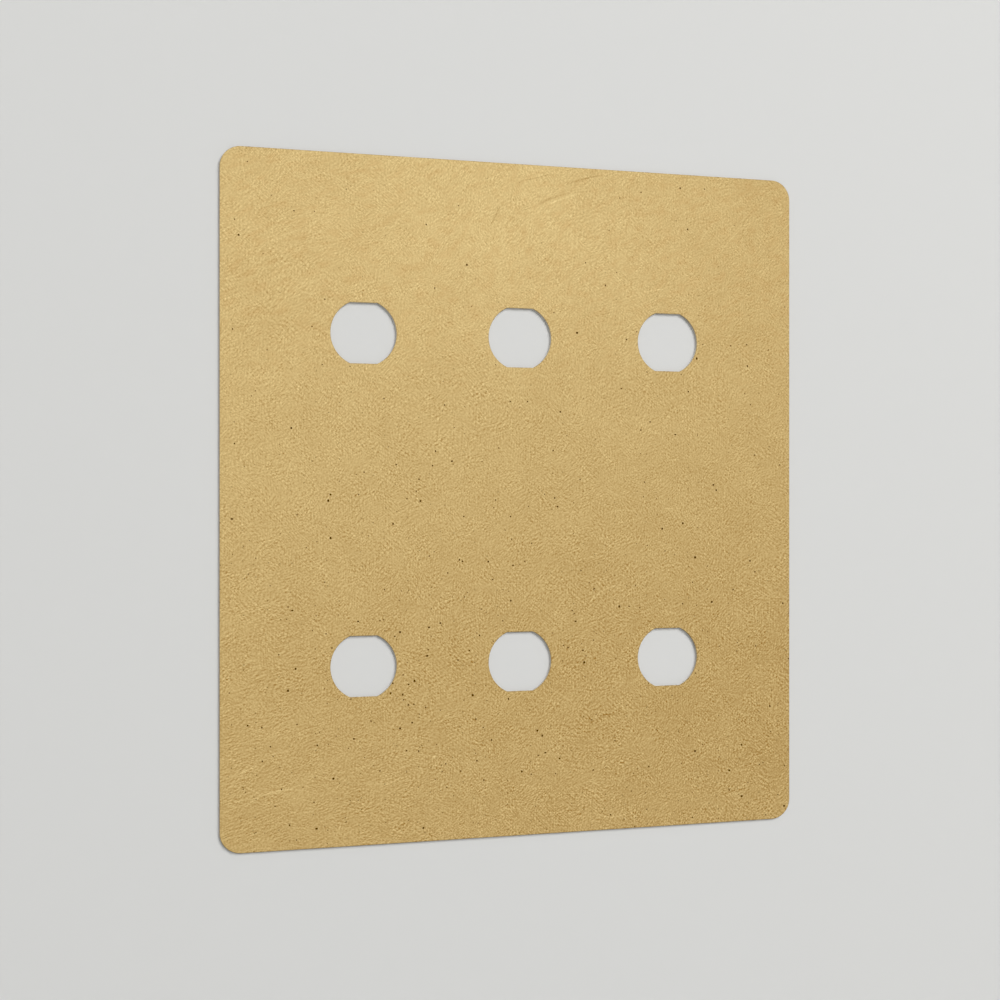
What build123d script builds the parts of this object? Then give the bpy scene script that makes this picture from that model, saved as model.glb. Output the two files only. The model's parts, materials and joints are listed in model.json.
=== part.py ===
from build123d import *
import os

# Wall switch plate: one flat brass sheet with rounded corners and a grid of keyed holes.
# The plate stands upright with its front towards -Y. The origin is the centre of the
# back face, the face that lies against the wall. All sizes are in millimetres.

# Sheet outline and thickness
plate_width = 146.0
plate_height = 166.0
plate_thickness = 0.8
corner_radius = 5.0

# Rounding of the front edges, from rubbing the cut sheet by hand
edge_radius = 0.2

# Grid of holes, one for each switch, centred on the plate
hole_columns = 3
hole_rows = 2
column_pitch = 39.0
row_pitch = 80.0

# Keyed hole: a round hole with a flat at the top and bottom that stops the switch turning
hole_diameter = 16.0
flat_depth = 0.7
hole_corner_radius = 0.5

# Distance between the two flats of a hole
hole_across_flats = hole_diameter - 2 * flat_depth

# Outline of one keyed hole
with BuildSketch() as keyed_hole:
    Circle(hole_diameter / 2)
    Rectangle(hole_diameter, hole_across_flats, mode=Mode.INTERSECT)
    fillet(keyed_hole.vertices(), hole_corner_radius)

# The plate, grown from the wall towards the front
with BuildPart() as switch_plate:
    with BuildSketch(Plane.XZ):
        RectangleRounded(plate_width, plate_height, corner_radius)
        with GridLocations(column_pitch, row_pitch, hole_columns, hole_rows):
            add(keyed_hole.sketch, mode=Mode.SUBTRACT)
    extrude(amount=plate_thickness)
    front_face = switch_plate.faces().sort_by(Axis.Y)[0]
    fillet(front_face.edges(), edge_radius)

switch_plate.part.label = "switch_plate"

os.makedirs("parts", exist_ok=True)
export_step(switch_plate.part, "parts/switch_plate.step")
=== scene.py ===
"""The looks of a flat wall switch plate: antique brass, rubbed by hand, with scratches and small pits."""

import json
import logging
import math
from dataclasses import dataclass
from enum import IntEnum
from typing import Any

import bmesh
import bpy
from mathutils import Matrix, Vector


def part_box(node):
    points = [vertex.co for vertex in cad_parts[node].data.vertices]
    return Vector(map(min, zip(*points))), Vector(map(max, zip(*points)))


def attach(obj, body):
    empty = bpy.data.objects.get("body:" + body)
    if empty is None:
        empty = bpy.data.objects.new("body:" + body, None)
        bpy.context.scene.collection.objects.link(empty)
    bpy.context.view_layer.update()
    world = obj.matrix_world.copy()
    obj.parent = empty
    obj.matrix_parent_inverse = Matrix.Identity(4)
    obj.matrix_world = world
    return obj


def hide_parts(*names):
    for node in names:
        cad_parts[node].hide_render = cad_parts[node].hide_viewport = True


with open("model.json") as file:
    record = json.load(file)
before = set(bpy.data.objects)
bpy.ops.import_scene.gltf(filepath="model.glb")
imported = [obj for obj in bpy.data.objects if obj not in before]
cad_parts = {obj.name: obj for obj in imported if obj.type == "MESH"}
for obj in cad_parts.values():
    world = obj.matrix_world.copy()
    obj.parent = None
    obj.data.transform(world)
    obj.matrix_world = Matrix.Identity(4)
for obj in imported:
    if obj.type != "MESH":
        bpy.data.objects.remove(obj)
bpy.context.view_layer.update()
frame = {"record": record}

log = logging.getLogger("switch_plate")

MM = 0.001
PLATE_NODE = "switch_plate"
PLATE_BODY = "root"
IN_PIT = "in_pit"

Point = tuple[float, float]
Range = tuple[float, float]
Colour = tuple[float, float, float, float]
Tree = bpy.types.NodeTree
Socket = bpy.types.NodeSocket
Material = bpy.types.Material
Object = bpy.types.Object


class Surface(IntEnum):
    """The finished surfaces of the sheet, as places in its list of materials."""

    FACE = 0
    CUT = 1
    BACK = 2
    PIT = 3


def linear(colour: str) -> Colour:
    """Turns an sRGB hex colour to the linear values that shaders use.

    Args:
        colour: Six hex digits after a number sign.

    Returns:
        Linear red, green, blue and an alpha of one.
    """
    channels = [int(colour[i : i + 2], 16) / 255 for i in (1, 3, 5)]
    red, green, blue = (c / 12.92 if c <= 0.04045 else ((c + 0.055) / 1.055) ** 2.4 for c in channels)
    return red, green, blue, 1.0


def add_node(
    tree: Tree, kind: str, inputs: dict[str | int, Any] | None = None, **settings: Any
) -> bpy.types.Node:
    """Adds a node with its settings, and gives each listed input its value or its link.

    Args:
        tree: The shader or geometry tree.
        kind: The node's type name, which needs no prefix for a shader node.
        inputs: Values, output sockets, or nodes for their first output, by the input's name or place.
        settings: Properties of the node itself, set before its inputs.

    Returns:
        The new node.
    """
    node = tree.nodes.new(kind if "Node" in kind else f"ShaderNode{kind}")
    for name, value in settings.items():
        setattr(node, name, value)
    for key, value in (inputs or {}).items():
        if isinstance(value, bpy.types.Node):
            value = value.outputs[0]
        if isinstance(value, Socket):
            tree.links.new(value, node.inputs[key])
        else:
            node.inputs[key].default_value = value
    return node


def limits(given: tuple[Any, Any], result: tuple[Any, Any] = (0.0, 1.0)) -> dict[str | int, Any]:
    """Names the limits of a ramp as inputs of its node.

    Args:
        given: The values where the ramp starts and ends.
        result: What it gives there.

    Returns:
        The inputs by their names.
    """
    return dict(zip(("From Min", "From Max", "To Min", "To Max"), (*given, *result)))


def new_material(name: str) -> tuple[Material, Tree, Socket]:
    """Makes an empty node material.

    Args:
        name: The finish's name.

    Returns:
        The material, its tree, and the surface input of its output node.
    """
    material = bpy.data.materials.new(name)
    material.use_nodes = True
    tree = material.node_tree
    tree.nodes.clear()
    output = add_node(tree, "OutputMaterial")
    return material, tree, output.inputs["Surface"]


def sheet_millimetres(tree: Tree) -> Socket:
    """Gives the place on the sheet in millimetres: across, up, and depth from the wall.

    Args:
        tree: The shader tree that reads the place.

    Returns:
        The vector output.
    """
    place = add_node(tree, "TexCoord")
    turned = add_node(
        tree,
        "Mapping",
        {
            "Vector": place.outputs["Object"],
            "Rotation": (-math.pi / 2, 0.0, 0.0),
            "Scale": (1 / MM, 1 / MM, 1 / MM),
        },
    )
    return turned.outputs["Vector"]


@dataclass(frozen=True)
class Strokes:
    """One set of short rubbing strokes, in nearly one direction. Lengths are in millimetres.

    Attributes:
        width: Width of a stroke.
        length: Length of a stroke.
        angle: Direction of the strokes, up from the horizontal.
        foot_weight: How strongly the set shows near the foot of the sheet.
        head_weight: How strongly it shows near the head.
        corner_weight: How strongly it shows in the calm corner.
    """

    width: float
    length: float
    angle: float
    foot_weight: float
    head_weight: float
    corner_weight: float


@dataclass(frozen=True)
class Clouds:
    """One size of soft unevenness in the tarnish.

    Attributes:
        size: Size of a cloud, in millimetres.
        weight: How strongly it shows.
    """

    size: float
    weight: float


@dataclass(frozen=True)
class Hairlines:
    """One set of long, thin, pale arcs, left by single grains on the pad. Lengths are in millimetres.

    Attributes:
        reach: Typical distance between the centres of two families of arcs.
        step: Distance between neighbouring arcs.
        width: Width of an arc.
        patch: Size of the patches where the arcs show.
        rarity: How rare those patches are, from 0.4, nearly everywhere, to 0.7, almost none.
        shift: Shift of the pattern, which keeps two sets apart.
        weight: How strongly the set shows.
    """

    reach: float
    step: float
    width: float
    patch: float
    rarity: float
    shift: float
    weight: float


@dataclass(frozen=True)
class Scratch:
    """One scratch that stands out on the face, a shallow arc. Lengths are in millimetres.

    Attributes:
        start: One end, across and up from the middle of the sheet.
        end: The other end.
        sag: How far the arc's middle lies to the left on the way from start to end.
        width: Width of the scratch.
        weight: How much paler it is than the metal beside it, below zero where it is browner.
    """

    start: Point
    end: Point
    sag: float
    width: float
    weight: float

    def add(self, tree: Tree, place: Socket, rub: Socket) -> Socket:
        """Adds the scratch to the rubbing.

        Args:
            tree: The shader tree.
            place: Place on the sheet in millimetres.
            rub: The rubbing so far.

        Returns:
            The rubbing with the scratch added.
        """
        chord = Vector(self.end) - Vector(self.start)
        middle = (Vector(self.start) + Vector(self.end)) / 2
        half = chord.length / 2
        along = chord.normalized()
        offset = add_node(tree, "VectorMath", {0: place, 1: middle.to_3d()}, operation="SUBTRACT")
        travel, across = (
            add_node(
                tree, "VectorMath", {0: offset, 1: way.to_3d()}, operation="DOT_PRODUCT"
            ).outputs["Value"]
            for way in (along, along.orthogonal())
        )
        square = add_node(tree, "Math", {0: travel, 1: travel}, operation="MULTIPLY")
        bowed = add_node(
            tree, "Math", {0: square, 1: self.sag / half**2, 2: across}, operation="MULTIPLY_ADD"
        )
        beside = add_node(tree, "Math", {0: bowed, 1: self.sag}, operation="SUBTRACT")
        away = add_node(tree, "Math", {0: beside}, operation="ABSOLUTE")
        line = add_node(
            tree, "MapRange", {"Value": away, **limits((0.0, self.width / 2), (self.weight, 0.0))}
        )
        reach = add_node(tree, "Math", {0: travel}, operation="ABSOLUTE")
        ends = add_node(tree, "MapRange", {"Value": reach, **limits((half / 2, half), (1.0, 0.0))})
        added = add_node(tree, "Math", {0: line, 1: ends, 2: rub}, operation="MULTIPLY_ADD")
        return added.outputs[0]


@dataclass(frozen=True)
class RubbedBrass:
    """Antique brass, tarnished and then rubbed back by hand with an abrasive pad.

    The tarnish stays in the low places as a browner tone, and the rubbing leaves a satin haze of fine
    crossing strokes in wide sweeps, with a few longer pale hairlines and many brown specks.
    Its colour also holds painted light: a lit and a shaded side on each stroke, paler towards the head,
    browner towards the foot and the right, and a painted sheen near the middle of the head. Lengths and
    places are in millimetres, from the middle of the sheet.

    Attributes:
        tarnish: Colour of the low, browner metal.
        rubbed: Colour of the high, paler metal.
        warm: Colour of the streaks of redder tarnish.
        speck: Colour of the tarnish in specks too small to model.
        roughness: Roughness of the satin surface.
        relief: Height of the strokes' relief, drawn deeper than real so that it shows.
        even_rub: Rubbing of the plain metal, from 0, all tarnish, to 1, all bright.
        strokes: The sets of rubbing strokes.
        stroke_heights: Heights at which the strokes' two weights hold.
        calm_centre: Corner where most of the sets are fainter.
        calm_radius: How far from it all sets have their full strength.
        stroke_detail: Fineness of the strokes' ragged edges.
        patch_size: Size of the patches in which one direction shows more.
        patch_shift: Shift between the patches of two sets, small where they share patches.
        patch_limits: Values of the patches' noise that count as the faintest and the strongest.
        patch_share: Share of a set's strength in its faintest and its strongest patches.
        stroke_shade_step: Distance between the painted lit side and the painted shaded side of a stroke,
            as a share of its width.
        bend: How far the strokes leave a straight line.
        bend_size: Length over which they bend.
        sweep_width: Width of the wide sweeps of the pad.
        sweep_length: Length of those sweeps.
        sweep_angle: Direction of those sweeps, up from the horizontal.
        sweep_bend: How far the sweeps leave a straight line, across and up.
        sweep_bend_size: Length over which they bend.
        sweep_weight: How strongly the sweeps show.
        warm_weight: How strongly the redder streaks show near the head.
        warm_heights: Heights at which they start to show and show fully.
        warm_limits: Values of the sweeps' noise at which a streak starts and is full.
        clouds: The sizes of unevenness.
        fade: Painted light from above: how much paler the colour is painted near the head of the sheet,
            and browner near its foot.
        painted_side_shade: Painted shade: how much browner the colour is painted with each millimetre to
            the right.
        painted_light_heights: Heights at which that painted light starts and ends.
        painted_sheen_centre: Middle of the painted sheen, a paler part near the head that stands in for
            the soft reflection of the light.
        painted_sheen_radius: Radius of that painted sheen.
        painted_sheen_weight: How much paler its middle is painted.
        hairlines: The sets of pale arcs.
        hairline_edge: How softly their patches begin, as a step of the patches' noise.
        hairline_side: Direction from an arc's centre in which the arcs show.
        hairline_swing: How far to that side they begin and show fully, as shares of the reach.
        scratches: The single scratches that stand out, where they lie on the object.
        speck_spacing: Typical distance between specks.
        speck_radius: Radius of a speck.
        speck_core: Share of that radius over which a speck is full.
        speck_thinning: How much fainter the specks grow with each millimetre up the sheet.
        speck_limits: Random values from which a speck shows, and at which it is strongest.
        speck_strength: How much of the metal's colour the strongest speck covers.
    """

    tarnish: str = "#8A5F00"
    rubbed: str = "#EFD89D"
    warm: str = "#B98848"
    speck: str = "#5F4300"
    roughness: float = 0.5
    relief: float = 0.01
    even_rub: float = 0.5
    strokes: tuple[Strokes, ...] = (
        Strokes(0.46, 2.3, math.radians(22), 0.36, 0.26, 0.38),
        Strokes(0.46, 2.0, math.radians(52), 0.34, 0.27, 0.26),
        Strokes(0.46, 2.0, math.radians(-12), 0.32, 0.19, 0.30),
        Strokes(0.46, 1.9, math.radians(-46), 0.38, 0.28, 0.16),
        Strokes(0.46, 1.9, math.radians(88), 0.34, 0.25, 0.14),
    )
    stroke_heights: Range = (-70.0, 45.0)
    calm_centre: Point = (-73.0, -83.0)
    calm_radius: float = 85.0
    stroke_detail: float = 1.5
    patch_size: float = 4.0
    patch_shift: float = 2.0
    patch_limits: Range = (0.3, 0.7)
    patch_share: Range = (0.4, 1.6)
    stroke_shade_step: float = 0.4
    bend: float = 10.0
    bend_size: float = 40.0
    sweep_width: float = 1.3
    sweep_length: float = 3.0
    sweep_angle: float = math.radians(20)
    sweep_bend: Point = (30.0, 60.0)
    sweep_bend_size: float = 90.0
    sweep_weight: float = 0.085
    warm_weight: float = 0.18
    warm_heights: Range = (10.0, 55.0)
    warm_limits: Range = (0.45, 0.75)
    clouds: tuple[Clouds, ...] = (Clouds(0.5, 0.19), Clouds(3.0, 0.048), Clouds(12.0, 0.05))
    fade: float = 0.078
    painted_side_shade: float = 0.0004
    painted_light_heights: Range = (-40.0, 60.0)
    painted_sheen_centre: Point = (0.0, 80.0)
    painted_sheen_radius: float = 72.0
    painted_sheen_weight: float = 0.09
    hairlines: tuple[Hairlines, ...] = (
        Hairlines(46.0, 3.1, 0.22, 7.0, 0.53, 0.0, 0.13),
        Hairlines(36.0, 2.7, 0.20, 6.0, 0.53, 210.0, 0.11),
        Hairlines(60.0, 5.3, 0.22, 14.0, 0.58, 470.0, 0.16),
    )
    hairline_edge: float = 0.08
    hairline_side: Point = (-0.6, 0.8)
    hairline_swing: Range = (0.1, 0.2)
    scratches: tuple[Scratch, ...] = (
        Scratch((-69.5, -74.4), (-51.1, -69.7), 3.05, 0.5, 0.2),
        Scratch((-70.0, -71.3), (-62.6, -69.5), 0.3, 0.45, 0.18),
        Scratch((-67.0, -67.6), (-63.3, -69.6), 0.1, 0.5, 0.19),
        Scratch((-59.5, -68.9), (-52.6, -67.5), 0.1, 0.4, 0.12),
        Scratch((-69.6, -64.9), (-64.0, -62.6), 0.15, 0.45, 0.19),
        Scratch((-64.6, -61.6), (-55.6, -59.4), 0.5, 0.45, 0.17),
        Scratch((20.5, -79.2), (30.0, -78.0), -1.2, 0.45, 0.2),
        Scratch((4.3, 73.2), (9.3, 75.5), 0.05, 0.9, -0.17),
        Scratch((6.0, 74.2), (15.0, 77.4), 0.1, 0.7, -0.09),
        Scratch((5.4, 72.6), (15.4, 76.6), 0.15, 0.5, 0.16),
        Scratch((11.5, 78.6), (22.0, 81.8), 0.1, 0.7, -0.22),
        Scratch((-1.0, 78.4), (9.0, 81.0), 0.1, 0.6, -0.15),
        Scratch((-7.9, 66.9), (-5.0, 72.7), -0.1, 0.5, -0.28),
        Scratch((20.6, -54.3), (24.6, -53.9), 0.1, 0.5, -0.36),
        Scratch((17.4, -53.9), (18.8, -56.4), 0.2, 0.5, -0.34),
        Scratch((18.0, -56.0), (22.4, -54.2), 0.0, 0.4, -0.16),
    )
    speck_spacing: float = 2.8
    speck_radius: float = 0.2
    speck_core: float = 0.4
    speck_thinning: float = 0.0025
    speck_limits: Range = (0.55, 1.05)
    speck_strength: float = 0.9

    def material(self) -> Material:
        """Builds the shader.

        Returns:
            The material.
        """
        material, tree, surface = new_material("rubbed_antique_brass")
        place = sheet_millimetres(tree)
        # The strokes carry their painted relief shade into the colour, and their real relief into the bump
        ridges_and_painted_shade = self.rubbing(tree, place)
        rub = self.cloud_cover(tree, place, ridges_and_painted_shade)
        rub, warmth = self.sweeps(tree, place, rub)
        rub = self.add_hairlines(tree, place, rub)
        for scratch in self.scratches:
            rub = scratch.add(tree, place, rub)
        shade = linear(self.tarnish), linear(self.rubbed)
        colour = add_node(tree, "Mix", {"Factor": rub, 6: shade[0], 7: shade[1]}, data_type="RGBA")
        for factor, tint in ((warmth, self.warm), (self.specks(tree, place), self.speck)):
            under = colour.outputs[2]
            colour = add_node(tree, "Mix", {"Factor": factor, 6: under, 7: linear(tint)}, data_type="RGBA")
        bump = add_node(tree, "Bump", {"Strength": 1.0, "Distance": self.relief * MM, "Height": ridges_and_painted_shade})
        shader = add_node(
            tree,
            "BsdfPrincipled",
            {
                "Base Color": colour.outputs[2],
                "Metallic": 1.0,
                "Roughness": self.roughness,
                "Normal": bump,
            },
        )
        tree.links.new(shader.outputs["BSDF"], surface)
        return material

    def rubbing(self, tree: Tree, place: Socket) -> Socket:
        """Adds up the sets of strokes, which bend slowly across the sheet.

        Args:
            tree: The shader tree.
            place: Place on the sheet in millimetres.

        Returns:
            The rubbing, lower where tarnish stays and higher where the metal is bright, with a painted lit
            side and a painted shaded side on each stroke.
        """
        bent = self.bend_place(tree, place, self.bend_size, (self.bend, self.bend))
        total: Socket | float = self.even_rub
        for number, layer in enumerate(self.strokes):
            along = add_node(
                tree,
                "Mapping",
                {
                    "Vector": bent,
                    "Rotation": (0.0, 0.0, layer.angle),
                    "Scale": (layer.length, layer.width, 1.0),
                },
                vector_type="TEXTURE",
            )
            sides = []
            for side in (self.stroke_shade_step / 2, -self.stroke_shade_step / 2):
                beside = add_node(tree, "VectorMath", {0: along, 1: (0.0, side, 0.0)}, operation="ADD")
                dashes = add_node(
                    tree,
                    "TexNoise",
                    {"Vector": beside, "Scale": 1.0, "Detail": self.stroke_detail},
                    noise_dimensions="2D",
                )
                sides.append(dashes.outputs["Fac"])
            # Painted relief shade: the difference of two copies beside each other gives each stroke a lit
            # side and a shaded side
            lit_and_shaded_sides = add_node(tree, "Math", {0: sides[0], 1: sides[1]}, operation="SUBTRACT")
            patch = add_node(
                tree,
                "TexNoise",
                {
                    "Vector": place,
                    "W": self.patch_shift * number,
                    "Scale": 1 / self.patch_size,
                    "Detail": 0.0,
                },
                noise_dimensions="4D",
            )
            share = add_node(
                tree, "MapRange", {"Value": patch, **limits(self.patch_limits, self.patch_share)}
            )
            shown = add_node(tree, "Math", {0: lit_and_shaded_sides, 1: share}, operation="MULTIPLY")
            weights = layer.foot_weight, layer.head_weight
            full = self.by_height(tree, place, self.stroke_heights, weights)
            calm = layer.corner_weight, full
            weight = self.by_distance(tree, place, self.calm_centre, self.calm_radius, calm)
            total = self.add_up(tree, total, (shown.outputs[0], weight))
        return total

    @staticmethod
    def by_height(tree: Tree, place: Socket, heights: Range, values: Range) -> Socket:
        """Gives a value that changes evenly between two heights on the sheet.

        Args:
            tree: The shader tree.
            place: Place on the sheet in millimetres.
            heights: The two heights, in millimetres above the middle.
            values: The values below the first height and above the second.

        Returns:
            The value.
        """
        height = add_node(tree, "SeparateXYZ", {0: place})
        ramp = add_node(tree, "MapRange", {"Value": height.outputs["Y"], **limits(heights, values)})
        return ramp.outputs[0]

    @staticmethod
    def by_distance(
        tree: Tree, place: Socket, centre: Point, radius: float, values: tuple[float, Socket | float]
    ) -> Socket:
        """Gives a value that changes smoothly from a centre out to a radius.

        Args:
            tree: The shader tree.
            place: Place on the sheet in millimetres.
            centre: The centre, in millimetres across and up from the middle of the sheet.
            radius: The radius, in millimetres.
            values: The value at the centre, and the one beyond the radius.

        Returns:
            The value.
        """
        away = add_node(tree, "VectorMath", {0: place, 1: (*centre, 0.0)}, operation="DISTANCE")
        ramp = add_node(
            tree,
            "MapRange",
            {"Value": away.outputs["Value"], **limits((0.0, radius), values)},
            interpolation_type="SMOOTHSTEP",
        )
        return ramp.outputs[0]

    @staticmethod
    def bend_place(tree: Tree, place: Socket, size: float, reach: Point) -> Socket:
        """Bends the straight directions of the sheet into slow curves.

        Args:
            tree: The shader tree.
            place: Place on the sheet in millimetres.
            size: Length over which they bend, in millimetres.
            reach: How far they leave a straight line, across and up, in millimetres.

        Returns:
            The bent place.
        """
        drift = add_node(tree, "TexNoise", {"Vector": place, "Scale": 1 / size, "Detail": 0.0})
        bent = add_node(
            tree,
            "VectorMath",
            {0: drift.outputs["Color"], 1: (*reach, 0.0), 2: place},
            operation="MULTIPLY_ADD",
        )
        return bent.outputs[0]

    def cloud_cover(self, tree: Tree, place: Socket, rub: Socket) -> Socket:
        """Adds the soft unevenness of the tarnish, and painted light: paler towards the head, browner
        towards the foot and the right, and a painted sheen near the middle of the head.

        Args:
            tree: The shader tree.
            place: Place on the sheet in millimetres.
            rub: The rubbing so far.

        Returns:
            The rubbing with the clouds and the painted light added.
        """
        # Painted light from above: paler towards the head and browner towards the foot, and painted shade
        # that grows browner towards the right
        painted_light_slope = self.by_height(tree, place, self.painted_light_heights, (-self.fade, self.fade))
        aside = add_node(tree, "SeparateXYZ", {0: place})
        # Painted sheen: a paler patch near the middle of the head, standing in for the soft reflection of
        # the light
        pale = self.by_distance(tree, place, self.painted_sheen_centre, self.painted_sheen_radius, (self.painted_sheen_weight, 0.0))
        middle = -sum(cloud.weight for cloud in self.clouds) / 2
        total = self.add_up(tree, rub, (painted_light_slope, 1.0), (aside.outputs["X"], -self.painted_side_shade))
        total = self.add_up(tree, middle, (total, 1.0))
        total = self.add_up(tree, total, (pale, 1.0))
        for cloud in self.clouds:
            cover = add_node(
                tree,
                "TexNoise",
                {"Vector": place, "Scale": 1 / cloud.size, "Detail": 0.0},
                noise_dimensions="2D",
            )
            total = self.add_up(tree, total, (cover.outputs["Fac"], cloud.weight))
        return total

    def sweeps(self, tree: Tree, place: Socket, rub: Socket) -> tuple[Socket, Socket]:
        """Adds the pad's wide curved sweeps, and finds the streaks of redder tarnish beside them.

        Args:
            tree: The shader tree.
            place: Place on the sheet in millimetres.
            rub: The rubbing so far.

        Returns:
            The rubbing with the sweeps added, and the share of redder tarnish.
        """
        along = add_node(
            tree,
            "Mapping",
            {
                "Vector": self.bend_place(tree, place, self.sweep_bend_size, self.sweep_bend),
                "Rotation": (0.0, 0.0, self.sweep_angle),
                "Scale": (self.sweep_length, self.sweep_width, 1.0),
            },
            vector_type="TEXTURE",
        )
        streaks = add_node(tree, "TexNoise", {"Vector": along, "Scale": 1.0, "Detail": 1.0})
        tones = add_node(tree, "SeparateColor", {0: streaks.outputs["Color"]})
        near_head = self.by_height(tree, place, self.warm_heights, (0.0, self.warm_weight))
        warmth = add_node(
            tree, "MapRange", {"Value": tones.outputs[1], **limits(self.warm_limits, (0.0, near_head))}
        )
        middle = self.add_up(tree, -self.sweep_weight / 2, (rub, 1.0))
        return self.add_up(tree, middle, (tones.outputs[0], self.sweep_weight)), warmth.outputs[0]

    def add_hairlines(self, tree: Tree, place: Socket, rub: Socket) -> Socket:
        """Adds the pale arcs, in patches.

        Args:
            tree: The shader tree.
            place: Place on the sheet in millimetres.
            rub: The rubbing so far.

        Returns:
            The rubbing with the arcs added.
        """
        for layer in self.hairlines:
            moved = add_node(
                tree, "Mapping", {"Vector": place, "Location": (layer.shift, layer.shift, 0.0)}
            )
            centres = add_node(
                tree, "TexVoronoi", {"Vector": moved, "Scale": 1 / layer.reach}, voronoi_dimensions="2D"
            )
            patches = add_node(
                tree,
                "TexNoise",
                {"Vector": moved, "Scale": 1 / layer.patch, "Detail": 1.0},
                noise_dimensions="2D",
            )
            beside = add_node(
                tree,
                "Math",
                {0: centres.outputs["Distance"], 1: layer.step / layer.reach},
                operation="PINGPONG",
            )
            thin = 0.0, layer.width / layer.reach
            line = add_node(tree, "MapRange", {"Value": beside, **limits(thin, (layer.weight, 0.0))})
            border = layer.rarity, layer.rarity + self.hairline_edge
            shown = add_node(tree, "MapRange", {"Value": patches, **limits(border)})
            grown = add_node(tree, "VectorMath", {0: moved, "Scale": 1 / layer.reach}, operation="SCALE")
            arm = add_node(
                tree, "VectorMath", {0: grown, 1: centres.outputs["Position"]}, operation="SUBTRACT"
            )
            side = add_node(
                tree, "VectorMath", {0: arm, 1: (*self.hairline_side, 0.0)}, operation="DOT_PRODUCT"
            )
            swing = add_node(
                tree, "MapRange", {"Value": side.outputs["Value"], **limits(self.hairline_swing)}
            )
            lit = add_node(tree, "Math", {0: shown, 1: swing}, operation="MULTIPLY")
            rub = self.add_up(tree, rub, (line.outputs[0], lit.outputs[0]))
        return rub

    def specks(self, tree: Tree, place: Socket) -> Socket:
        """Scatters brown specks, more of them towards the lower edge.

        Args:
            tree: The shader tree.
            place: Place on the sheet in millimetres.

        Returns:
            A value from 0, clear metal, to 1, a full speck.
        """
        cells = add_node(
            tree, "TexVoronoi", {"Vector": place, "Scale": 1 / self.speck_spacing}, voronoi_dimensions="2D"
        )
        strength = add_node(tree, "SeparateColor", {0: cells.outputs["Color"]})
        height = add_node(tree, "SeparateXYZ", {0: place})
        thinned = self.add_up(tree, strength.outputs[0], (height.outputs["Y"], -self.speck_thinning))
        chosen = add_node(
            tree, "MapRange", {"Value": thinned, **limits(self.speck_limits, (0.0, self.speck_strength))}
        )
        rim = self.speck_radius / self.speck_spacing
        dot = add_node(
            tree, "MapRange", {"Value": cells, **limits((self.speck_core * rim, rim), (1.0, 0.0))}
        )
        speck = add_node(tree, "Math", {0: dot, 1: chosen}, operation="MULTIPLY")
        return speck.outputs[0]

    @staticmethod
    def add_up(tree: Tree, total: Socket | float, *terms: tuple[Socket, Socket | float]) -> Socket:
        """Adds weighted patterns to a running total.

        Args:
            tree: The shader tree.
            total: The total so far.
            terms: Each pattern with its weight.

        Returns:
            The new total.
        """
        for pattern, weight in terms:
            added = add_node(tree, "Math", {0: pattern, 1: weight, 2: total}, operation="MULTIPLY_ADD")
            total = added.outputs[0]
        return total


@dataclass(frozen=True)
class EvenFinish:
    """A finish of one even tone, as on the parts of the sheet that the pad doesn't reach.

    Attributes:
        name: The finish's name.
        colour: Colour of the surface.
        roughness: Roughness of the surface.
        metallic: One for bare metal, zero for an oxide that covers it.
        specular: Strength of the gloss of an oxide.
    """

    name: str
    colour: str
    roughness: float
    metallic: float = 1.0
    specular: float = 0.5

    def material(self) -> Material:
        """Builds the shader.

        Returns:
            The material.
        """
        material, tree, surface = new_material(self.name)
        shader = add_node(
            tree,
            "BsdfPrincipled",
            {
                "Base Color": linear(self.colour),
                "Metallic": self.metallic,
                "Roughness": self.roughness,
                "Specular IOR Level": self.specular,
            },
        )
        tree.links.new(shader.outputs["BSDF"], surface)
        return material


# Bare rolled brass of the back, as the sheet came from the mill: dull, pale and even
MILL_FINISH = EvenFinish("mill_finish_brass", "#BFA066", 0.4)

# Punched edges, painted a neutral grey that stands in for shade: the cut walls of the holes and of the
# outer edge read as the grey shadow band beside the warm face
SHADE_GREY_CUT = EvenFinish("cut_edge_painted_shade", "#ABA69B", 0.5)

# Dull brown tarnish that stays in the pits, where the pad can't reach
PIT_TARNISH = EvenFinish("tarnish_in_pits", "#583A00", 0.9, 0.0, 0.0)


@dataclass(frozen=True)
class StagePaint:
    """Matt pale paint of the studio's floor and backdrop.

    Attributes:
        colour: Colour of the paint.
        one_sided: True where the surface shows only from its front.
    """

    colour: str
    one_sided: bool = False

    def material(self) -> Material:
        """Builds the shader.

        Returns:
            The material.
        """
        material, tree, surface = new_material("matt_stage_paint")
        paint = add_node(tree, "BsdfDiffuse", {"Color": linear(self.colour)})
        shown = paint.outputs["BSDF"]
        if self.one_sided:
            side = add_node(tree, "NewGeometry")
            clear = add_node(tree, "BsdfTransparent")
            mix = add_node(
                tree, "MixShader", {0: side.outputs["Backfacing"], 1: shown, 2: clear.outputs["BSDF"]}
            )
            shown = mix.outputs["Shader"]
        tree.links.new(shown, surface)
        return material


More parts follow.
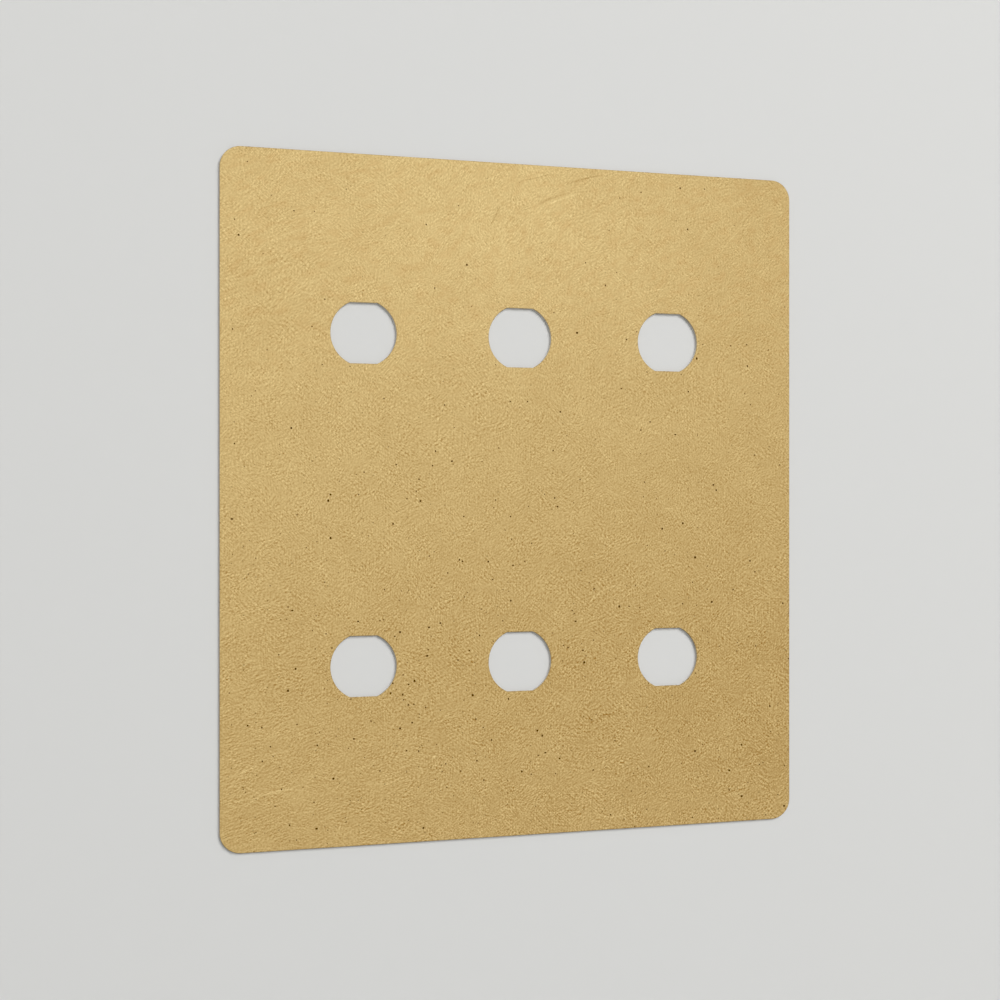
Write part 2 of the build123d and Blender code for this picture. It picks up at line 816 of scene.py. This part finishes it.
@dataclass(frozen=True)
class KeyedHole:
    """A round hole with a flat at its top and bottom, which stops a switch from turning.

    Attributes:
        centre: Place of the hole on the sheet.
        diameter: Diameter of the round part.
        flat_depth: How far each flat cuts into the circle.
        corner_radius: Radius of the corners beside the flats.
        segments: Straight pieces in the outline.
    """

    centre: Point
    diameter: float = 16.0 * MM
    flat_depth: float = 0.7 * MM
    corner_radius: float = 0.5 * MM
    segments: int = 120

    def outline(self, inset: float) -> list[Point]:
        """Follows the hole's edge, moved into the metal.

        Args:
            inset: How far the line lies inside the metal.

        Returns:
            Points across and up the sheet, in order round the hole.
        """
        reach = self.diameter / 2 - self.corner_radius
        corner_up = reach - self.flat_depth
        corner_across = math.sqrt(reach**2 - corner_up**2)
        radius = self.corner_radius + inset
        points = []
        for step in range(self.segments):
            angle = 2 * math.pi * (step + 0.5) / self.segments
            across, up = reach * math.cos(angle), reach * math.sin(angle)
            if abs(up) > corner_up:
                across, up = math.copysign(corner_across, across), math.copysign(corner_up, up)
            points.append(
                (
                    self.centre[0] + across + radius * math.cos(angle),
                    self.centre[1] + up + radius * math.sin(angle),
                )
            )
        return points


@dataclass(frozen=True)
class SheetEdge:
    """The outer edge of the sheet, a rectangle with rounded corners.

    Attributes:
        width: Size across.
        height: Size up.
        corner_radius: Radius of the corners.
        corner_segments: Straight pieces in each corner.
    """

    width: float
    height: float
    corner_radius: float = 5.0 * MM
    corner_segments: int = 24

    def outline(self, inset: float) -> list[Point]:
        """Follows the outer edge, moved into the metal.

        Args:
            inset: How far the line lies inside the metal.

        Returns:
            Points across and up the sheet, in order round the edge.
        """
        radius = self.corner_radius - inset
        points = []
        for corner, (side, end) in enumerate(((1, 1), (-1, 1), (-1, -1), (1, -1))):
            across = side * (self.width / 2 - self.corner_radius)
            up = end * (self.height / 2 - self.corner_radius)
            for step in range(self.corner_segments + 1):
                angle = math.pi / 2 * (corner + step / self.corner_segments)
                points.append((across + radius * math.cos(angle), up + radius * math.sin(angle)))
        return points


@dataclass(frozen=True)
class Pitting:
    """Small corrosion pits, sunk into the face of the sheet by a geometry tree.

    Attributes:
        smallest: Diameter of the smallest pits.
        largest: Diameter of the largest pits.
        spacing: Least distance between two pits.
        density: Most pits in a square metre.
        patch: Size of a patch with many or few pits.
        patch_seed: Choice among the random maps of patches.
        patch_low: Value of that map that counts as a patch with few pits.
        patch_high: Value that counts as a patch with many.
        patch_share: Share of the pits that is left in a patch with few.
        foot: Height on the sheet at which the pits are closest.
        head: Height on the sheet at which they are rarest.
        head_share: Share of the pits that is left there.
        depth_ratio: Depth of a pit as a share of its diameter.
        stretch: How much wider or narrower than round a pit may be, as a share.
        seed: Start of the random draws.
        size_power: How much rarer large pits are than small ones, one for all sizes alike.
        segments: Straight pieces round a pit.
        rings: Straight pieces from the bottom to the top of the ball that cuts a pit.
        face_limit: Greatest Y of the normals that count as the flat face.
    """

    smallest: float = 0.26 * MM
    largest: float = 0.58 * MM
    spacing: float = 0.8 * MM
    density: float = 44000.0
    patch: float = 40.0 * MM
    patch_seed: float = 56.1
    patch_low: float = 0.35
    patch_high: float = 0.65
    patch_share: float = 0.15
    foot: float = -60.0 * MM
    head: float = 60.0 * MM
    head_share: float = 0.15
    depth_ratio: float = 0.35
    stretch: float = 0.25
    seed: int = 11
    size_power: float = 2.0
    segments: int = 10
    rings: int = 7
    face_limit: float = -0.999

    def sizes(self) -> dict[str, float]:
        """Lists the values of the tree's inputs, one for each field, by the inputs' names."""
        return {name.replace("_", " ").title(): value for name, value in vars(self).items()}

    def tree(self) -> Tree:
        """Builds the geometry tree, with a named input for each size.

        Returns:
            The tree.
        """
        tree = bpy.data.node_groups.new("face_pitting", "GeometryNodeTree")
        tree.interface.new_socket("Sheet", in_out="INPUT", socket_type="NodeSocketGeometry")
        for name, value in self.sizes().items():
            kind = "NodeSocketInt" if isinstance(value, int) else "NodeSocketFloat"
            tree.interface.new_socket(name, in_out="INPUT", socket_type=kind)
        tree.interface.new_socket("Pit Finish", in_out="INPUT", socket_type="NodeSocketMaterial")
        tree.interface.new_socket("Sheet", in_out="OUTPUT", socket_type="NodeSocketGeometry")
        given = add_node(tree, "NodeGroupInput").outputs

        normal = add_node(tree, "GeometryNodeInputNormal")
        facing = add_node(tree, "SeparateXYZ", {0: normal})
        sides = {"A": facing.outputs["Y"], "B": given["Face Limit"]}
        on_face = add_node(tree, "FunctionNodeCompare", sides, operation="LESS_THAN")
        patch_scale = add_node(tree, "Math", {0: 1.0, 1: given["Patch"]}, operation="DIVIDE")
        patches = add_node(
            tree,
            "TexNoise",
            {"W": given["Patch Seed"], "Scale": patch_scale, "Detail": 1.0},
            noise_dimensions="4D",
        )
        crowding = limits((given["Patch Low"], given["Patch High"]), (given["Patch Share"], 1.0))
        thick = add_node(tree, "MapRange", {"Value": patches, **crowding})
        position = add_node(tree, "GeometryNodeInputPosition")
        height = add_node(tree, "SeparateXYZ", {0: position})
        thinning = limits((given["Foot"], given["Head"]), (1.0, given["Head Share"]))
        lower = add_node(tree, "MapRange", {"Value": height.outputs["Z"], **thinning})
        share = add_node(tree, "Math", {0: thick, 1: lower}, operation="MULTIPLY")
        points = add_node(
            tree,
            "GeometryNodeDistributePointsOnFaces",
            {
                "Mesh": given["Sheet"],
                "Selection": on_face,
                "Distance Min": given["Spacing"],
                "Density Max": given["Density"],
                "Density Factor": share,
                "Seed": given["Seed"],
            },
            distribute_method="POISSON",
        )
        draw = add_node(tree, "FunctionNodeRandomValue", {"Seed": given["Seed"]}, data_type="FLOAT")
        skew = add_node(tree, "Math", {0: draw.outputs[1], 1: given["Size Power"]}, operation="POWER")
        diameter = add_node(
            tree, "MapRange", {"Value": skew, **limits((0.0, 1.0), (given["Smallest"], given["Largest"]))}
        )
        bowl = add_node(
            tree,
            "GeometryNodeMeshUVSphere",
            {"Segments": given["Segments"], "Rings": given["Rings"], "Radius": 0.5},
        )
        bowl_depth = add_node(tree, "CombineXYZ", {"X": 1.0, "Y": 1.0, "Z": given["Depth Ratio"]})
        squat = add_node(tree, "GeometryNodeTransform", {"Geometry": bowl, "Scale": bowl_depth})
        narrow = add_node(tree, "Math", {0: 1.0, 1: given["Stretch"]}, operation="SUBTRACT")
        wide = add_node(tree, "Math", {0: 1.0, 1: given["Stretch"]}, operation="ADD")
        form = add_node(
            tree,
            "FunctionNodeRandomValue",
            {"Min": narrow, "Max": wide, "Seed": given["Seed"]},
            data_type="FLOAT_VECTOR",
        )
        size = add_node(tree, "VectorMath", {0: form, "Scale": diameter}, operation="SCALE")
        bowls = add_node(
            tree,
            "GeometryNodeInstanceOnPoints",
            {
                "Points": points.outputs["Points"],
                "Instance": squat,
                "Rotation": points.outputs["Rotation"],
                "Scale": size,
            },
        )
        real = add_node(tree, "GeometryNodeRealizeInstances", {0: bowls})
        marked = add_node(
            tree,
            "GeometryNodeStoreNamedAttribute",
            {"Geometry": real, "Name": IN_PIT, "Value": True},
            data_type="BOOLEAN",
            domain="FACE",
        )
        cut = add_node(
            tree,
            "GeometryNodeMeshBoolean",
            {"Mesh 1": given["Sheet"], "Mesh 2": marked},
            operation="DIFFERENCE",
            solver="MANIFOLD",
        )
        in_pit = add_node(tree, "GeometryNodeInputNamedAttribute", {"Name": IN_PIT}, data_type="BOOLEAN")
        whole = add_node(tree, "GeometryNodeRealizeInstances", {0: cut.outputs["Mesh"]})
        dressed = add_node(
            tree,
            "GeometryNodeSetMaterial",
            {"Geometry": whole, "Selection": in_pit, "Material": given["Pit Finish"]},
        )
        add_node(tree, "NodeGroupOutput", {0: dressed})
        return tree

    def sink(self, sheet: Object, finish: Material) -> None:
        """Sinks the pits into the sheet and leaves a plain mesh.

        Args:
            sheet: The sheet's object.
            finish: The material inside the pits.
        """
        modifier = sheet.modifiers.new("pitting", "NODES")
        modifier.node_group = self.tree()
        values = {**self.sizes(), "Pit Finish": finish}
        for socket in modifier.node_group.interface.items_tree:
            if socket.in_out == "INPUT" and socket.name in values:
                modifier[socket.identifier] = values[socket.name]
        solid = sheet.data
        shown = sheet.evaluated_get(bpy.context.evaluated_depsgraph_get())
        sheet.data = bpy.data.meshes.new_from_object(shown)
        sheet.modifiers.remove(modifier)
        bpy.data.meshes.remove(solid)


@dataclass
class SwitchPlate:
    """The brass sheet with its rounded corners, keyed holes, rounded front edges and pits.

    Attributes:
        edge: The outer edge.
        holes: The keyed holes.
        thickness: Thickness of the sheet.
        edge_radius: Rounding of the front edges.
        edge_segments: Straight pieces in that rounding.
        margin: Width of the flat strip that keeps the face's shading flat beside the rounding.
        crease: Least angle that stays a sharp edge.
        pitting: The pits of the face.
    """

    edge: SheetEdge
    holes: list[KeyedHole]
    thickness: float
    edge_radius: float = 0.2 * MM
    edge_segments: int = 4
    margin: float = 0.2 * MM
    crease: float = math.radians(35)
    pitting: Pitting = Pitting()

    @classmethod
    def from_frame(cls) -> "SwitchPlate":
        """Takes the sheet's size and the holes' places from the frame.

        Returns:
            The plate.
        """
        low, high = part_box(PLATE_NODE)
        size = high - low
        places = [m["pos_m"] for m in frame["record"]["mounts"] if m["name"].endswith("switch_hole")]
        holes = [KeyedHole((across, up)) for across, _, up in places]
        return cls(SheetEdge(size.x, size.z), holes, size.y)

    def section(self) -> list[Point]:
        """Follows the sheet's edge in section, from the back corner to the flat of the face.

        Returns:
            Pairs of inset and place along Y.
        """
        radius = self.edge_radius
        turns = [math.pi / 2 * step / self.edge_segments for step in range(self.edge_segments + 1)]
        rounding = [
            (radius * (1 - math.cos(turn)), radius * (1 - math.sin(turn)) - self.thickness)
            for turn in turns
        ]
        return [(0.0, 0.0), *rounding, (radius + self.margin, -self.thickness)]

    def solid(self) -> bpy.types.Mesh:
        """Builds the closed sheet, without pits.

        Returns:
            The mesh.
        """
        shape = bmesh.new()
        face_rim, back_rim = [], []
        for boundary in (self.edge, *self.holes):
            rings = [
                [shape.verts.new((across, y, up)) for across, up in boundary.outline(inset)]
                for inset, y in self.section()
            ]
            for place, (lower, upper) in enumerate(zip(rings, rings[1:])):
                for i in range(len(lower)):
                    side = shape.faces.new((lower[i - 1], lower[i], upper[i], upper[i - 1]))
                    side.material_index = Surface.CUT if place == 0 else Surface.FACE
            back_rim += self.rim_edges(shape, rings[0])
            face_rim += self.rim_edges(shape, rings[-1])
        bmesh.ops.triangle_fill(shape, use_beauty=True, edges=face_rim)
        back = bmesh.ops.triangle_fill(shape, use_beauty=True, edges=back_rim)
        for item in back["geom"]:
            if isinstance(item, bmesh.types.BMFace):
                item.material_index = Surface.BACK
        bmesh.ops.recalc_face_normals(shape, faces=shape.faces)
        mesh = bpy.data.meshes.new("sheet")
        shape.to_mesh(mesh)
        shape.free()
        return mesh

    @staticmethod
    def rim_edges(shape: bmesh.types.BMesh, ring: list[bmesh.types.BMVert]) -> list[bmesh.types.BMEdge]:
        """Finds the edges round a ring of vertices.

        Args:
            shape: The mesh in work.
            ring: The vertices in order.

        Returns:
            The edges in the same order.
        """
        return [shape.edges.get((ring[i - 1], ring[i])) for i in range(len(ring))]

    def build(self) -> Object:
        """Builds the plate's piece, dresses it and fixes it to the frame.

        Returns:
            The piece.
        """
        finishes = {
            Surface.FACE: RubbedBrass().material(),
            Surface.CUT: SHADE_GREY_CUT.material(),
            Surface.BACK: MILL_FINISH.material(),
            Surface.PIT: PIT_TARNISH.material(),
        }
        mesh = self.solid()
        for surface in Surface:
            mesh.materials.append(finishes[surface])
        piece = bpy.data.objects.new("plate", mesh)
        bpy.context.scene.collection.objects.link(piece)
        self.pitting.sink(piece, finishes[Surface.PIT])
        piece.data.shade_smooth()
        piece.data.set_sharp_from_angle(angle=self.crease)
        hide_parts(PLATE_NODE)
        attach(piece, PLATE_BODY)
        return piece


@dataclass(frozen=True)
class SoftLight:
    """A square soft light that faces the middle of the plate and stays out of the picture.

    Attributes:
        name: The light's name.
        place: Where it hangs.
        size: Length of its sides.
        power: Its power in watts.
        on_paint: True where it lights the matt paint of the stage.
        in_metal: True where it shows in the metal.
    """

    name: str
    place: tuple[float, float, float]
    size: float
    power: float
    on_paint: bool = True
    in_metal: bool = True

    def hang(self) -> None:
        """Hangs the light in the scene."""
        lamp = bpy.data.lights.new(self.name, "AREA")
        lamp.size = self.size
        lamp.energy = self.power
        holder = bpy.data.objects.new(self.name, lamp)
        holder.location = self.place
        aim = Vector((0, 0, 0)) - Vector(self.place)
        holder.rotation_euler = aim.to_track_quat("-Z", "Y").to_euler()
        holder.visible_camera = False
        holder.visible_diffuse = self.on_paint
        holder.visible_glossy = self.in_metal
        bpy.context.scene.collection.objects.link(holder)


@dataclass
class Studio:
    """A plain pale floor and backdrop, soft lights, and the camera at the photograph's angle.

    Attributes:
        wall_gap: Gap between the plate and the backdrop.
        wall_side: Length of the backdrop's sides.
        floor_drop: How far the floor lies below the middle of the plate.
        floor_side: Length of the floor's sides.
        wall_paint: Paint of the backdrop.
        floor_paint: Paint of the floor.
        lights: The soft lights.
        room_light: Strength of the even light of the room.
        room_tone: How bright the room looks, also in the metal.
        photo_side: Width and height of the photograph, in pixels.
        face_centre_px: Where the middle of the plate's face lies in the photograph, in pixels.
        camera_distance: Distance from the camera to the middle of the face, along the view.
        camera_turn: How far the camera is turned to the right.
        lens: Focal length of the lens, in millimetres.
        sensor: Width of the sensor, in millimetres.
    """

    wall_gap: float = 0.02 * MM
    wall_side: float = 3.0
    floor_drop: float = 1.2
    floor_side: float = 6.0
    wall_paint: StagePaint = StagePaint("#D8D8D6", one_sided=True)
    floor_paint: StagePaint = StagePaint("#DCDCDA")
    lights: tuple[SoftLight, ...] = (
        SoftLight("key", (0.95, -2.06, 1.275), 1.5, 56.5, in_metal=False),
        SoftLight("front_fill", (0.0, -1.5, -0.3), 8.0, 130.0, on_paint=False),
        SoftLight("back_fill", (0.3, 1.15, 0.6), 3.0, 24.0, on_paint=False),
    )
    room_light: float = 0.33
    room_tone: float = 0.5
    photo_side: int = 1000
    face_centre_px: Point = (520.2, 499.7)
    camera_distance: float = 343.35 * MM
    camera_turn: float = math.radians(15)
    lens: float = 50.0
    sensor: float = 36.0

    def panel(self, name: str, side: float, paint: StagePaint) -> Object:
        """Makes a square stage panel that faces up at the origin.

        Args:
            name: The panel's name.
            side: Length of its sides.
            paint: Its paint.

        Returns:
            The panel.
        """
        mesh = bpy.data.meshes.new(name)
        half = side / 2
        corners = [(-half, -half, 0), (half, -half, 0), (half, half, 0), (-half, half, 0)]
        mesh.from_pydata(corners, [], [(0, 1, 2, 3)])
        mesh.materials.append(paint.material())
        panel = bpy.data.objects.new(name, mesh)
        bpy.context.scene.collection.objects.link(panel)
        return panel

    def build_stage(self) -> None:
        """Puts up the backdrop that the plate lies against, and the floor."""
        wall = self.panel("backdrop", self.wall_side, self.wall_paint)
        wall.rotation_euler = (math.pi / 2, 0, 0)
        wall.location = (0, self.wall_gap, 0)
        wall.visible_diffuse = False
        wall.visible_glossy = False
        wall.visible_shadow = False
        floor = self.panel("floor", self.floor_side, self.floor_paint)
        floor.location = (0, 0, -self.floor_drop)

    def build_lights(self) -> None:
        """Hangs the lights and lights the room."""
        for light in self.lights:
            light.hang()
        self.build_room()

    def build_room(self) -> None:
        """Sets the even light of the room, which looks pale to the camera and in the metal."""
        world = bpy.data.worlds.new("room")
        bpy.context.scene.world = world
        world.use_nodes = True
        tree = world.node_tree
        rays = add_node(tree, "LightPath")
        seen: Socket | float = 0.0
        for ray in ("Is Camera Ray", "Is Glossy Ray", "Is Transmission Ray"):
            both = add_node(tree, "Math", {0: rays.outputs[ray], 1: seen}, operation="ADD")
            seen = both.outputs[0]
        strength = add_node(
            tree, "MapRange", {"Value": seen, **limits((0.0, 1.0), (self.room_light, self.room_tone))}
        )
        background = tree.nodes["Background"]
        background.inputs["Color"].default_value = (1, 1, 1, 1)
        tree.links.new(strength.outputs[0], background.inputs["Strength"])

    def build_camera(self) -> None:
        """Sets the camera where the photograph was taken."""
        low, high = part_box(PLATE_NODE)
        face_centre = Vector(((low.x + high.x) / 2, low.y, (low.z + high.z) / 2))
        forward = Vector((math.sin(self.camera_turn), math.cos(self.camera_turn), 0))
        right = Vector((forward.y, -forward.x, 0))
        focal_px = self.lens / self.sensor * self.photo_side
        across = (self.face_centre_px[0] - self.photo_side / 2) / focal_px * self.camera_distance
        down = (self.face_centre_px[1] - self.photo_side / 2) / focal_px * self.camera_distance
        data = bpy.data.cameras.new("camera")
        data.lens = self.lens
        data.sensor_width = self.sensor
        data.clip_start = 1 * MM
        camera = bpy.data.objects.new("camera", data)
        facing_plate = face_centre - forward * self.camera_distance
        camera.location = facing_plate - right * across + Vector((0, 0, down))
        camera.rotation_euler = (math.pi / 2, 0, -self.camera_turn)
        bpy.context.scene.collection.objects.link(camera)
        bpy.context.scene.camera = camera

    def build(self) -> None:
        """Builds the stage, the lights and the camera."""
        self.build_stage()
        self.build_lights()
        self.build_camera()
        bpy.context.scene.view_settings.view_transform = "Standard"


def main() -> None:
    """Builds the plate and its studio, and reports each piece."""
    logging.basicConfig(level=logging.INFO, format="%(message)s")
    piece = SwitchPlate.from_frame().build()
    log.info("%s: %d vertices, %d faces", piece.name, len(piece.data.vertices), len(piece.data.polygons))
    Studio().build()
    log.info("stage, lights and camera are set")


if __name__ == "__main__":
    main()
